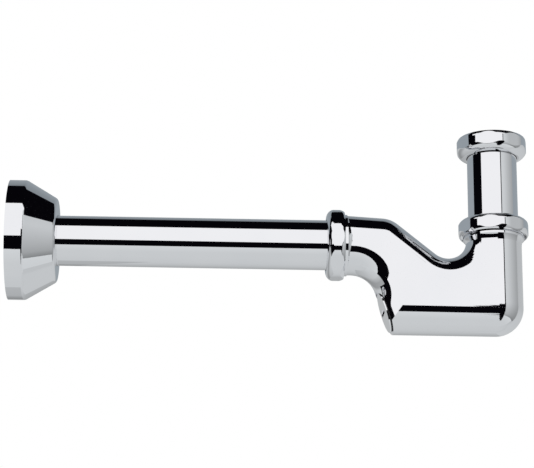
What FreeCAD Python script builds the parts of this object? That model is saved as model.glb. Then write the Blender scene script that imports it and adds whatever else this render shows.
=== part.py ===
import FreeCAD, Part
import math
import os
import re

import Sketcher
from FreeCAD import Placement, Rotation, Vector

# Basin trap for a 32 mm waste tube, in millimetres and degrees.
# The row frame has its origin at the centre of the inlet nut's mouth, +Z up along the inlet,
# and the outlet tube running along -X to the wall.
# The trap body, its joints and the plug are laid out about the point where the inlet axis
# crosses the outlet axis, which lies outlet_drop below the origin.

# Driving dimensions: word, value, what it is
DIMENSIONS = [
    ("tube_outer", 32.0, "outside diameter of the inlet and outlet tubes"),
    ("tube_wall", 0.8, "wall of both tubes"),
    ("outlet_drop", 73.0, "inlet mouth down to the outlet axis"),
    ("outlet_reach", 310.0, "inlet axis to the wall"),
    ("dip_depth", 43.0, "outlet axis down to the end of the inlet tube"),
    ("tube_set_back", 0.5, "end of the outlet tube inside the wall plane"),
    ("tube_insert", 6.7, "length of the outlet tube inside the mouth of its nut"),
    ("dip_room", 0.4, "gap between the inlet tube and the trap body's cavity, on the radius"),
    ("body_wall", 1.4, "wall of the trap body"),
    ("edge_land", 0.05, "flat left at the middle of each full round edge"),
    ("sump_depth", 58.0, "outlet axis down to the underside of the body"),
    ("shoulder_reach", 73.0, "inlet axis to the shoulder where the body turns down"),
    ("valley_height", 4.2, "outlet axis up to the middle of the hollow beside the inlet leg"),
    ("valley_round", 12.4, "radius of the hollow beside the inlet leg"),
    ("throat_round", 16.2, "radius under the outlet neck"),
    ("port_reach", 58.6, "inlet axis to the middle of the lower back corner"),
    ("port_offset", 11.9, "middle of the lower back corner out to the cleaning port's face"),
    ("port_tilt", 17.6, "angle of the port's axis below the horizontal"),
    ("port_wall", 8.0, "metal behind the port's face"),
    ("port_face_room", 0.6, "plug's head out to the edge of the flat turned on the port"),
    ("port_hole", 18.0, "diameter of the port's threaded hole"),
    ("port_through", 16.0, "length of the cut for the port's hole"),
    ("leg_height", 4.6, "outlet axis up to the end of the plain inlet leg"),
    ("flare_start", 0.8, "outlet axis down to the start of the inlet collar's flare"),
    ("flare_round", 10.0, "radius of the inlet collar's flare"),
    ("neck_land", 2.555, "straight underside between the throat and the outlet collar"),
    ("neck_flare", 3.8, "length of the outlet neck's flare at its collar"),
    ("neck_step", 0.5, "outlet neck below the roots of its male thread, on the radius"),
    ("neck_flare_round", 6.2, "radius of the outlet neck's flare"),
    ("collar_rise", 0.1, "collars above the roots of the male threads, on the radius"),
    ("collar_width", 1.6, "width of both collars"),
    ("collar_gap", 0.3, "gap between a collar and its nut"),
    ("relief_depth", 0.4, "groove behind the male threads below their roots, on the radius"),
    ("relief_width", 0.9, "length behind the male threads"),
    ("spigot_wall", 3.1, "metal of the spigots from their bores to the roots of their threads"),
    ("thread_lead_in", 0.5, "chamfer at the start of the male threads"),
    ("bore_clearance", 0.5, "gap between a tube and the body's bore, on the radius"),
    ("seat_land", 1.1, "metal round the mouth of the sealing cone"),
    ("seat_depth", 3.4, "depth of the sealing cone"),
    ("coupling_mouth", 6.9, "outlet axis up to the mouth of the coupling nut"),
    ("nut_height", 11.2, "height of the coupling and outlet nuts"),
    ("nut_wall", 1.0, "metal between the nuts' flats and the roots of their threads"),
    ("nut_sides", 8, "number of flats on each nut"),
    ("nut_corner_round", 13.5, "radius of the nuts' corners"),
    ("nut_trim_rise", 0.8, "nuts' flats out to where the rounded ends begin"),
    ("nut_edge_round", 0.6, "radius along the edges between the nuts' faces"),
    ("nut_turn", -13.5, "turn of the upright nuts about their axis"),
    ("thread_room", 1.5, "roots of the male threads out to the roots of the nuts' threads"),
    ("nut_thread", 7.6, "length of the coupling and outlet nuts' threads"),
    ("nut_relief_depth", 0.3, "groove between the nuts' threads and floors, on the radius"),
    ("nut_floor", 1.5, "thickness of the coupling and outlet nuts' floors"),
    ("nut_lip_step", 3.4, "nuts' flats in to the flat end of the coupling and outlet nuts"),
    ("nut_crown", 5.0, "height of the round at that end"),
    ("nut_crown_round", 5.2, "radius of the round at that end"),
    ("mouth_step", 0.5, "nuts' flats in to their mouths' outer edge"),
    ("mouth_crown", 4.0, "height of the round at the mouths"),
    ("mouth_crown_round", 6.8, "radius of the round at the mouths"),
    ("floor_clearance", 0.4, "gap between a nut's floor and its tube, on the radius"),
    ("inlet_nut_height", 12.4, "height of the inlet nut"),
    ("inlet_nut_thread", 6.05, "length of the inlet nut's thread"),
    ("inlet_nut_floor", 2.4, "thickness of the inlet nut's floor"),
    ("inlet_nut_lip_step", 4.5, "nuts' flats in to the flat end of the inlet nut"),
    ("inlet_nut_crown", 5.6, "height of the round under the inlet nut"),
    ("inlet_nut_crown_round", 6.4, "radius of the round under the inlet nut"),
    ("face_gap", 0.05, "gap between flat faces that turn or slide on each other"),
    ("ring_thick", 1.0, "thickness of the slip rings"),
    ("ring_room", 1.5, "slip rings out to the roots of the nuts' threads"),
    ("ring_clearance", 0.3, "gap between a slip ring and its tube, on the radius"),
    ("ring_edge", 0.25, "bevel on the slip rings"),
    ("friction_ring_thick", 0.8, "thickness of the ring under the inlet tube's flange"),
    ("seal_back", 1.2, "thickness of the sealing cones' backs"),
    ("seal_room", 1.6, "sealing cones' backs out to the roots of the nuts' threads"),
    ("seal_clearance", 0.06, "gap between a sealing cone and its tube, on the radius"),
    ("seal_gap", 0.15, "gap between a sealing cone and its seat, on the radius"),
    ("seal_nose", 0.3, "thickness of the sealing cones' noses"),
    ("flange_room", 1.7, "inlet tube's flange out to the root of the nut's thread"),
    ("flange_thick", 1.0, "thickness of the inlet tube's flange"),
    ("washer_thick", 2.0, "thickness of the inlet washer"),
    ("washer_room", 1.6, "inlet washer out to the root of the nut's thread"),
    ("washer_lap", 0.2, "inlet washer's hole back from the tube's bore"),
    ("plug_head", 26.0, "diameter of the cleaning plug's head"),
    ("plug_head_thick", 0.8, "thickness of the cleaning plug's head at its rim"),
    ("plug_dome", 0.3, "rise of the cleaning plug's head"),
    ("plug_thread_room", 0.8, "root of the plug's thread out to the root of the port's thread"),
    ("plug_shank_length", 7.5, "length of the cleaning plug's thread"),
    ("plug_lead_in", 0.5, "chamfer at the end of the cleaning plug's thread"),
    ("plug_wall", 1.7, "metal round the hollow inside the cleaning plug"),
    ("plug_cup_depth", 6.0, "depth of the hollow inside the cleaning plug"),
    ("slot_width", 2.4, "width of the cleaning plug's coin slot"),
    ("slot_depth", 1.2, "depth of the cleaning plug's coin slot"),
    ("slot_length", 15.0, "length of the cleaning plug's coin slot"),
    ("gasket_thick", 0.6, "thickness of the plug's gasket"),
    ("gasket_room", 0.3, "port's threaded hole out to the plug's gasket"),
    ("gasket_lap", 0.4, "plug's gasket in from the edge of its head"),
    ("rosette_outer", 76.4, "diameter of the rosette at the wall"),
    ("rosette_depth", 30.6, "depth of the rosette from the wall"),
    ("rosette_rim", 10.8, "length of the rosette's straight rim"),
    ("rosette_nose", 53.0, "diameter of the rosette's flat nose, before its edge is rounded"),
    ("rosette_rim_round", 4.0, "outer radius between the rosette's rim and its cone"),
    ("rosette_nose_round", 3.0, "outer radius round the rosette's nose"),
    ("rosette_sheet", 0.8, "sheet thickness of the rosette"),
    ("rosette_clearance", 0.3, "gap between the rosette and the outlet tube, on the radius"),
    ("rosette_neck", 3.0, "length of the neck drawn inwards round the outlet tube"),
]

doc = FreeCAD.newDocument("BasinTrap")
sheet = doc.addObject("Spreadsheet::Sheet", "Dimensions")
for row, (word, value, meaning) in enumerate(DIMENSIONS, start=1):
    sheet.set(f"A{row}", word)
    sheet.set(f"B{row}", str(value))
    sheet.setAlias(f"B{row}", word)
    sheet.set(f"C{row}", meaning)
doc.recompute()

WORDS = {word for word, value, meaning in DIMENSIONS}
WORD = re.compile(r"[a-z][a-z_]*")


def linked(formula):
    """A formula with each dimension's word tied to its cell."""
    return WORD.sub(lambda found: "Dimensions." + found[0] if found[0] in WORDS else found[0], formula)


def size(formula):
    """What a formula comes to now."""
    return float(sheet.evalExpression(linked(formula)))


def bind(thing, what, formula):
    """Ties a property to a formula."""
    thing.setExpression(what, linked(formula))


# Formulas that several pieces share
TUBE_RADIUS = "(tube_outer / 2)"
TUBE_BORE = "(tube_outer / 2 - tube_wall)"
BODY_HALF = "(tube_outer / 2 + dip_room + body_wall)"
CORNER_DROP = f"(sump_depth - {BODY_HALF})"
VALLEY_REACH = f"({BODY_HALF} + valley_round)"
COLLAR_BACK = "(collar_gap + collar_width)"
PORT_FACE_X = "(port_reach + port_offset * cos(port_tilt))"
PORT_FACE_DROP = f"({CORNER_DROP} + port_offset * sin(port_tilt))"
THREAD_RADIUS = "(tube_outer / 2 + bore_clearance + spigot_wall)"
NECK_RADIUS = f"({THREAD_RADIUS} - neck_step)"
NUT_BORE = f"({THREAD_RADIUS} + thread_room)"
NUT_FLAT = f"({NUT_BORE} + nut_wall)"
NUT_CORNER = f"({NUT_FLAT} / cos(180 / nut_sides))"
NUT_TRIM = f"({NUT_FLAT} + nut_trim_rise)"
MOUTH_RADIUS = f"({NUT_FLAT} - mouth_step)"
SEAT_RADIUS = f"({THREAD_RADIUS} - seat_land)"
PLUG_RADIUS = "(port_hole / 2 - plug_thread_room)"
THROAT_DROP = f"({NECK_RADIUS} + throat_round)"
THROAT_SPAN = f"sqrt(({BODY_HALF} + throat_round) ^ 2 - ({CORNER_DROP} - {THROAT_DROP}) ^ 2)"
THROAT_REACH = f"(port_reach + {THROAT_SPAN})"
CORNER_REACH = f"(port_reach + {BODY_HALF} * (1 - sin(port_tilt)) / cos(port_tilt))"
NECK_END = f"({THROAT_REACH} + neck_land)"
OUTLET_MOUTH = f"({NECK_END} + {COLLAR_BACK})"
TUBE_ENTRY = f"({OUTLET_MOUTH} - tube_insert)"

# Heights inside a compression joint, from the nut's mouth towards its floor
RING_TOP = "(nut_height - nut_floor - face_gap)"
RING_FOOT = f"({RING_TOP} - ring_thick)"
SEAL_TOP = f"({RING_FOOT} - face_gap)"
SEAL_FOOT = f"({SEAL_TOP} - seal_back)"
SPIGOT_END = f"({SEAL_FOOT} - face_gap)"
SEAT_FOOT = f"({SPIGOT_END} - seat_depth)"

# Heights inside the inlet nut, from its mouth down
FRICTION_FOOT = "(inlet_nut_height - inlet_nut_floor - face_gap)"
FRICTION_TOP = f"({FRICTION_FOOT} - friction_ring_thick)"
FLANGE_FOOT = f"({FRICTION_TOP} - face_gap)"
FLANGE_TOP = f"({FLANGE_FOOT} - flange_thick)"
WASHER_FOOT = f"({FLANGE_TOP} - face_gap)"
WASHER_TOP = f"({WASHER_FOOT} - washer_thick)"

SYMMETRIC = "Symmetric"
ONE_WAY = "One side"


def new_body(label):
    """An empty body for one piece."""
    body = doc.addObject("PartDesign::Body", label)
    body.Label = label
    return body


def new_sketch(body, name, role="XZ_Plane"):
    """A sketch on one of the body's own planes."""
    plane = next(item for item in body.Origin.OriginFeatures if item.Role == role)
    sketch = body.newObject("Sketcher::SketchObject", name)
    sketch.AttachmentSupport = [(plane, "")]
    sketch.MapMode = "FlatFace"
    return sketch


def constrain(sketch, formula, kind, *where):
    """A constraint on a sketch whose value follows a formula."""
    index = sketch.addConstraint(Sketcher.Constraint(kind, *where, size(formula)))
    bind(sketch, f"Constraints[{index}]", formula)


def pin_point(sketch, item, end, across, up):
    """Holds the end of a sketch line at two formulas, counted from the sketch's origin."""
    for kind, axis, formula in (("DistanceX", -2, across), ("DistanceY", -1, up)):
        if formula == "0":
            sketch.addConstraint(Sketcher.Constraint("PointOnObject", item, end, axis))
        else:
            constrain(sketch, formula, kind, -1, 1, item, end)


def arc_between(start, end, radius, side):
    """The short arc between two points, with its centre on one side of the way along."""
    along = end - start
    normal = Vector(-along.y, along.x, 0).normalize()
    rise = math.sqrt(radius ** 2 - (along.Length / 2) ** 2)
    centre = (start + end) / 2 + normal * (rise if side == "left" else -rise)
    first, last = (start, end) if side == "left" else (end, start)
    circle = Part.Circle(centre, Vector(0, 0, 1), radius)
    turns = [math.atan2(spot.y - centre.y, spot.x - centre.x) for spot in (first, last)]
    return Part.ArcOfCircle(circle, *turns)


def draw_profile(sketch, corners, rounds=None):
    """Draws a closed profile through corners given by formulas.

    A side named in rounds is an arc: it has a radius and the side its centre lies on.
    """
    rounds = rounds or {}
    points = [Vector(size(across), size(up), 0) for across, up in corners]
    ends = []
    for item, start in enumerate(points):
        end = points[(item + 1) % len(points)]
        if item in rounds:
            radius, side = rounds[item]
            sketch.addGeometry(arc_between(start, end, size(radius), side), False)
            constrain(sketch, radius, "Radius", item)
            ends.append((1, 2) if side == "left" else (2, 1))
        else:
            sketch.addGeometry(Part.LineSegment(start, end), False)
            ends.append((1, 2))
    for item, (across, up) in enumerate(corners):
        before = item - 1 if item else len(corners) - 1
        meet = Sketcher.Constraint("Coincident", before, ends[before][1], item, ends[item][0])
        sketch.addConstraint(meet)
        pin_point(sketch, item, ends[item][0], across, up)


def revolve(body, sketch, kind="Revolution", axis="V_Axis"):
    """A full turn of a sketch about one of its axes, added to the body or cut from it."""
    before = body.Shape.Volume if kind == "Groove" else 0
    feature = body.newObject("PartDesign::" + kind, sketch.Name + "Turn")
    feature.Profile = sketch
    feature.ReferenceAxis = (sketch, [axis])
    feature.Angle = 360
    doc.recompute()
    if kind == "Groove" and not feature.Shape.Volume < before:
        raise RuntimeError(f"{feature.Name} cuts nothing")
    return feature


def extrude(body, sketch, kind, length, side=SYMMETRIC):
    """A sketch pulled both ways from its plane or one way, added to the body or cut from it."""
    before = body.Shape.Volume if kind == "Pocket" else 0
    feature = body.newObject("PartDesign::" + kind, sketch.Name + kind)
    feature.Profile = sketch
    feature.SideType = side
    bind(feature, "Length", length)
    doc.recompute()
    if kind == "Pocket" and not feature.Shape.Volume < before:
        raise RuntimeError(f"{feature.Name} cuts nothing")
    return feature


def fillet(body, base, name, radius, chosen):
    """A fillet on the edges of a feature that chosen picks out."""
    edges = [f"Edge{number}" for number, edge in enumerate(base.Shape.Edges, start=1) if chosen(edge)]
    if not edges:
        raise RuntimeError(f"{name} has no edge to round")
    feature = body.newObject("PartDesign::Fillet", name)
    feature.Base = (base, edges)
    bind(feature, "Radius", radius)
    doc.recompute()
    return feature


def circle_edge(radius, height):
    """Picks the full circle of a given radius at a given height on the piece's own axis."""
    across = size(radius)
    up = size(height)

    def chosen(edge):
        curve = edge.Curve
        return (
            isinstance(curve, Part.Circle)
            and abs(curve.Radius - across) < 1e-4
            and abs(curve.Center.z - up) < 1e-4
        )

    return chosen


def turned_cut(body, name, corners, rounds=None):
    """A cut turned about the piece's own Z axis."""
    sketch = new_sketch(body, name)
    draw_profile(sketch, corners, rounds)
    return revolve(body, sketch, "Groove")


def turned(label, corners, rounds=None):
    """A piece turned about its own Z axis from one profile of radii and heights."""
    body = new_body(label)
    sketch = new_sketch(body, label + "_profile")
    draw_profile(sketch, corners, rounds)
    revolve(body, sketch)
    return body


def place(body, across="0", up="0", rotation=None):
    """Puts a piece in the row frame."""
    body.Placement = Placement(Vector(size(across), 0, size(up)), rotation or Rotation())
    bind(body, ".Placement.Base.x", across)
    bind(body, ".Placement.Base.z", up)


# Where the pieces of each compression joint stand: over the inlet leg, and along the outlet
ON_INLET = {"up": "coupling_mouth - outlet_drop"}
ON_OUTLET = {"across": "-" + OUTLET_MOUTH, "up": "-outlet_drop", "rotation": Rotation(Vector(0, 1, 0), -90)}
UPRIGHT_TURN = Rotation(Vector(0, 0, 1), size("nut_turn"))
FLIPPED = Rotation(Vector(1, 0, 0), 180)
ON_PORT = {
    "across": "-" + PORT_FACE_X,
    "up": f"-outlet_drop - {PORT_FACE_DROP}",
    "rotation": Rotation(Vector(0, 1, 0), -90 - size("port_tilt")),
}


def upright_edge(edge):
    """Picks the straight edges that run along the piece's own Z axis."""
    return edge.BoundBox.ZLength > edge.Length - 1e-4


def facet_edge(edge):
    """Picks the curved edges between a nut's flats and its rounded ends."""
    reach = min(math.hypot(spot.X, spot.Y) for spot in edge.Vertexes)
    return reach > size(NUT_FLAT) - 1e-3 and not upright_edge(edge)


def make_nut(label, height, thread, floor, lip_step, crown, crown_round):
    """An octagonal nut with soft corners and rounded ends, its mouth at zero and its floor at the top."""
    body = new_body(label)
    outline = new_sketch(body, label + "_octagon", "XY_Plane")
    corners = []
    for corner in range(int(size("nut_sides"))):
        angle = f"(({corner} + 0.5) * 360 / nut_sides)"
        corners.append((f"{NUT_CORNER} * cos({angle})", f"{NUT_CORNER} * sin({angle})"))
    draw_profile(outline, corners)
    block = extrude(body, outline, "Pad", height, ONE_WAY)
    fillet(body, block, label + "_corners", "nut_corner_round", upright_edge)
    lip = f"{NUT_FLAT} - {lip_step}"
    turned_cut(
        body,
        label + "_mouth_round",
        [
            (MOUTH_RADIUS, "0"),
            (NUT_TRIM, "mouth_crown"),
            (f"2 * {NUT_TRIM}", "mouth_crown"),
            (f"2 * {NUT_TRIM}", "-1"),
            (MOUTH_RADIUS, "-1"),
        ],
        {0: ("mouth_crown_round", "left")},
    )
    turned_cut(
        body,
        label + "_floor_round",
        [
            (NUT_TRIM, f"{height} - {crown}"),
            (lip, height),
            (lip, f"{height} + 1"),
            (f"2 * {NUT_TRIM}", f"{height} + 1"),
            (f"2 * {NUT_TRIM}", f"{height} - {crown}"),
        ],
        {0: (crown_round, "left")},
    )
    bored = turned_cut(
        body,
        label + "_bore",
        [
            ("0", "-1"),
            (NUT_BORE, "-1"),
            (NUT_BORE, thread),
            (f"{NUT_BORE} + nut_relief_depth", thread),
            (f"{NUT_BORE} + nut_relief_depth", f"{height} - {floor}"),
            (f"{TUBE_RADIUS} + floor_clearance", f"{height} - {floor}"),
            (f"{TUBE_RADIUS} + floor_clearance", f"{height} + 1"),
            ("0", f"{height} + 1"),
        ],
    )
    fillet(body, bored, label + "_soft_edges", "nut_edge_round", facet_edge)
    return body


def make_slip_ring(label, foot, top):
    """A flat ring with bevelled edges that a nut turns on."""
    inner = f"{TUBE_RADIUS} + ring_clearance"
    outer = f"{NUT_BORE} - ring_room"
    return turned(
        label,
        [
            (inner, foot),
            (f"{outer} - ring_edge", foot),
            (outer, f"{foot} + ring_edge"),
            (outer, f"{top} - ring_edge"),
            (f"{outer} - ring_edge", top),
            (inner, top),
        ],
    )


def make_seal(label):
    """A sealing cone: a flat back over the spigot and a nose that fills its cone."""
    inner = f"{TUBE_RADIUS} + seal_clearance"
    shoulder = f"{SEAT_RADIUS} - seal_gap"
    outer = f"{NUT_BORE} - seal_room"
    return turned(
        label,
        [
            (inner, SEAT_FOOT),
            (f"{inner} + seal_nose", SEAT_FOOT),
            (shoulder, SPIGOT_END),
            (shoulder, SEAL_FOOT),
            (outer, SEAL_FOOT),
            (outer, SEAL_TOP),
            (inner, SEAL_TOP),
        ],
    )


def make_compression_joint(name, where):
    """The nut, slip ring and sealing cone that hold a tube in the trap body."""
    nut = make_nut(
        name + "_nut",
        "nut_height",
        "nut_thread",
        "nut_floor",
        "nut_lip_step",
        "nut_crown",
        "nut_crown_round",
    )
    place(nut, **{"rotation": UPRIGHT_TURN, **where})
    ring = make_slip_ring(name + "_slip_ring", RING_FOOT, RING_TOP)
    place(ring, **where)
    seal = make_seal(name + "_seal")
    place(seal, **where)


def outline_shape(half, grow):
    """Centres, radii and tangent points of the body's outline, or of the cavity inside it.

    The way round is clockwise, seen from the front. A round corner has its centre on the right
    of the way, and a hollow one on the left.
    """
    shoulder = Vector(-size("shoulder_reach"), 0, 0)
    valley = Vector(-size(VALLEY_REACH), size("valley_height"), 0)
    valley_radius = size("valley_round") + grow
    foot = Vector(0, -size(CORNER_DROP), 0)
    throat = Vector(-size(THROAT_REACH), -size(THROAT_DROP), 0)
    throat_radius = size("throat_round") + grow
    if grow:
        throat_radius += size(f"{NECK_RADIUS} - {BODY_HALF}")
    back = Vector(-size("port_reach"), -size(CORNER_DROP), 0)
    if grow:
        inward = size("port_wall - port_offset") + half
        back = back + Vector(inward / math.cos(math.radians(size("port_tilt"))), 0, 0)
    return shoulder, valley, valley_radius, foot, back, throat, throat_radius


def heading(start, end, radius_sum):
    """The direction of the line that leaves a round corner on its right for a hollow one on its left."""
    way = end - start
    return math.atan2(way.y, way.x) - math.asin(radius_sum / way.Length)


def compass(angle):
    """The unit vector at an angle in a sketch."""
    return Vector(math.cos(angle), math.sin(angle), 0)


def bearing(start, end):
    """The angle from one point to another."""
    return math.atan2(end.y - start.y, end.x - start.x)


def draw_outline(sketch, half_formula, neck_formula, grow_formula):
    """Draws the body's outline, or the outline of the cavity where grow_formula isn't zero."""
    half = size(half_formula)
    grow = size(grow_formula)
    parts = outline_shape(half, grow)
    shoulder, valley, valley_radius, foot, back, throat, throat_radius = parts
    slope = heading(shoulder, valley, half + valley_radius)
    end_x = -size(NECK_END)
    leg_top = size("leg_height")

    def arc(centre, radius, first, last):
        while last < first:
            last += math.tau
        return Part.ArcOfCircle(Part.Circle(centre, Vector(0, 0, 1), radius), first, last)

    def line(start, end):
        return Part.LineSegment(start, end)

    shoulder_exit = shoulder + compass(slope + math.pi / 2) * half
    valley_entry = valley - compass(slope + math.pi / 2) * valley_radius
    neck_half = size(neck_formula)
    neck_top = Vector(end_x, neck_half, 0)
    way = shoulder - neck_top
    neck_slope = math.atan2(way.y, way.x) + math.asin(half / way.Length)
    shoulder_start = shoulder + compass(neck_slope + math.pi / 2) * half
    if grow:
        back_slope = heading(back, throat, half + throat_radius)
        back_angle = back_slope + math.pi / 2
        throat_angle = back_slope - math.pi / 2
        sole_end = back - Vector(0, half, 0)
        back_start = -math.pi / 2
    else:
        back_angle = bearing(back, throat)
        throat_angle = back_angle - math.pi
        sole_end = Vector(-size(CORNER_REACH), -size("sump_depth"), 0)
        back_start = math.radians(size("port_tilt")) - math.pi
    items = {
        "neck_top": (line(neck_top, shoulder_start), (1, 2)),
        "shoulder": (arc(shoulder, half, slope + math.pi / 2, neck_slope + math.pi / 2), (2, 1)),
        "slope": (line(shoulder_exit, valley_entry), (1, 2)),
        "valley": (arc(valley, valley_radius, slope - math.pi / 2, 0), (1, 2)),
        "leg_back": (line(Vector(-half, valley.y, 0), Vector(-half, leg_top, 0)), (1, 2)),
        "leg_top": (line(Vector(-half, leg_top, 0), Vector(half, leg_top, 0)), (1, 2)),
        "leg_front": (line(Vector(half, leg_top, 0), Vector(half, foot.y, 0)), (1, 2)),
        "foot": (arc(foot, half, -math.pi / 2, 0), (2, 1)),
        "sole": (line(foot - Vector(0, half, 0), sole_end), (1, 2)),
    }
    if not grow:
        items["port_side"] = (line(sole_end, back + compass(back_start) * half), (1, 2))
    items["back"] = (arc(back, half, back_angle, back_start), (2, 1))
    if grow:
        joiner = line(back + compass(back_angle) * half, throat + compass(throat_angle) * throat_radius)
        items["joiner"] = (joiner, (1, 2))
    items["throat"] = (arc(throat, throat_radius, throat_angle, math.pi / 2), (1, 2))
    items["neck_foot"] = (line(throat + Vector(0, throat_radius, 0), Vector(end_x, -neck_half, 0)), (1, 2))
    items["neck_end"] = (line(Vector(end_x, -neck_half, 0), neck_top), (1, 2))

    names = list(items)
    number = {name: index for index, name in enumerate(names)}
    for geometry, ends in items.values():
        sketch.addGeometry(geometry, False)
    square = ["leg_back", "leg_top", "neck_foot", "neck_end"]
    if not grow:
        square.append("sole")
    for name, after in zip(names, names[1:] + names[:1]):
        kind = "Coincident" if name in square else "Tangent"
        meet = (number[name], items[name][1][1], number[after], items[after][1][0])
        sketch.addConstraint(Sketcher.Constraint(kind, *meet))
    for name in ("leg_top", "sole", "neck_foot"):
        sketch.addConstraint(Sketcher.Constraint("Horizontal", number[name]))
    for name in ("leg_back", "leg_front", "neck_end"):
        sketch.addConstraint(Sketcher.Constraint("Vertical", number[name]))
    for name in ("shoulder", "foot", "back"):
        constrain(sketch, half_formula, "Radius", number[name])
    constrain(sketch, f"valley_round + {grow_formula}", "Radius", number["valley"])
    pin_point(sketch, number["shoulder"], 3, "-shoulder_reach", "0")
    pin_point(sketch, number["valley"], 3, "-" + VALLEY_REACH, "valley_height")
    pin_point(sketch, number["foot"], 3, "0", "-" + CORNER_DROP)
    constrain(sketch, "-" + NECK_END, "DistanceX", -1, 1, number["neck_end"], 1)
    constrain(sketch, f"-{neck_formula}", "DistanceY", -1, 1, number["neck_end"], 1)
    constrain(sketch, neck_formula, "DistanceY", -1, 1, number["neck_end"], 2)
    constrain(sketch, "leg_height", "DistanceY", -1, 1, number["leg_top"], 1)
    if grow:
        inward = f"(port_wall - port_offset + {half_formula}) / cos(port_tilt)"
        constrain(sketch, f"{inward} - port_reach", "DistanceX", -1, 1, number["back"], 3)
        constrain(sketch, "-" + THROAT_REACH, "DistanceX", -1, 1, number["throat"], 3)
        wider = f"throat_round + {grow_formula} + {NECK_RADIUS} - {BODY_HALF}"
        constrain(sketch, wider, "Radius", number["throat"])
    else:
        pin_point(sketch, number["back"], 3, "-port_reach", "-" + CORNER_DROP)
        constrain(sketch, "-" + CORNER_REACH, "DistanceX", -1, 1, number["port_side"], 1)
        constrain(sketch, "throat_round", "Radius", number["throat"])


def long_edge(half):
    """Picks the edges on the front and back faces that run round the outline, not its open ends."""
    end_x = -size(NECK_END)
    leg_top = size("leg_height")

    def chosen(edge):
        spots = [edge.valueAt(edge.FirstParameter + share * (edge.LastParameter - edge.FirstParameter))
                 for share in (0.1, 0.5, 0.9)]
        on_face = all(abs(abs(spot.y) - half) < 1e-4 for spot in spots)
        at_neck = all(abs(spot.x - end_x) < 1e-4 for spot in spots)
        at_leg = all(abs(spot.z - leg_top) < 1e-4 for spot in spots)
        return on_face and not at_neck and not at_leg

    return chosen


def spigot_corners(mouth, inner_start):
    """Radii and distances of a spigot: collar, relief, male thread and chamfer."""
    collar_back = f"{mouth} - {COLLAR_BACK}"
    collar_front = f"{mouth} - collar_gap"
    relief_front = f"{mouth} - collar_gap + relief_width"
    end = f"{mouth} + {SPIGOT_END}"
    return [
        ("0", inner_start),
        (f"{BODY_HALF} - edge_land", inner_start),
        (NECK_RADIUS, collar_back),
        (f"{THREAD_RADIUS} + collar_rise", collar_back),
        (f"{THREAD_RADIUS} + collar_rise", collar_front),
        (f"{THREAD_RADIUS} - relief_depth", collar_front),
        (f"{THREAD_RADIUS} - relief_depth", relief_front),
        (THREAD_RADIUS, relief_front),
        (THREAD_RADIUS, f"{end} - thread_lead_in"),
        (f"{THREAD_RADIUS} - thread_lead_in", end),
        ("0", end),
    ]


def bore_corners(mouth, inner_start):
    """Radii and distances of the cut that a tube enters: its bore and the sealing cone."""
    bore = f"{TUBE_RADIUS} + bore_clearance"
    end = f"{mouth} + {SPIGOT_END}"
    return [
        ("0", inner_start),
        (bore, inner_start),
        (bore, f"{mouth} + {SEAT_FOOT}"),
        (SEAT_RADIUS, end),
        (SEAT_RADIUS, f"{end} + 1"),
        ("0", f"{end} + 1"),
    ]


def along_outlet(corners):
    """The same corners laid along -X."""
    return [(f"-({distance})", radius) for radius, distance in corners]


def port_sketch(body, name):
    """A sketch at the middle of the cleaning port's face, with Y out of it and X up along it."""
    sketch = new_sketch(body, name)
    middle = Vector(-size(PORT_FACE_X), -size(PORT_FACE_DROP), 0)
    sketch.AttachmentOffset = Placement(middle, Rotation(Vector(0, 0, 1), 90 + size("port_tilt")))
    bind(sketch, ".AttachmentOffset.Base.x", "-" + PORT_FACE_X)
    bind(sketch, ".AttachmentOffset.Base.y", "-" + PORT_FACE_DROP)
    return sketch


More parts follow.
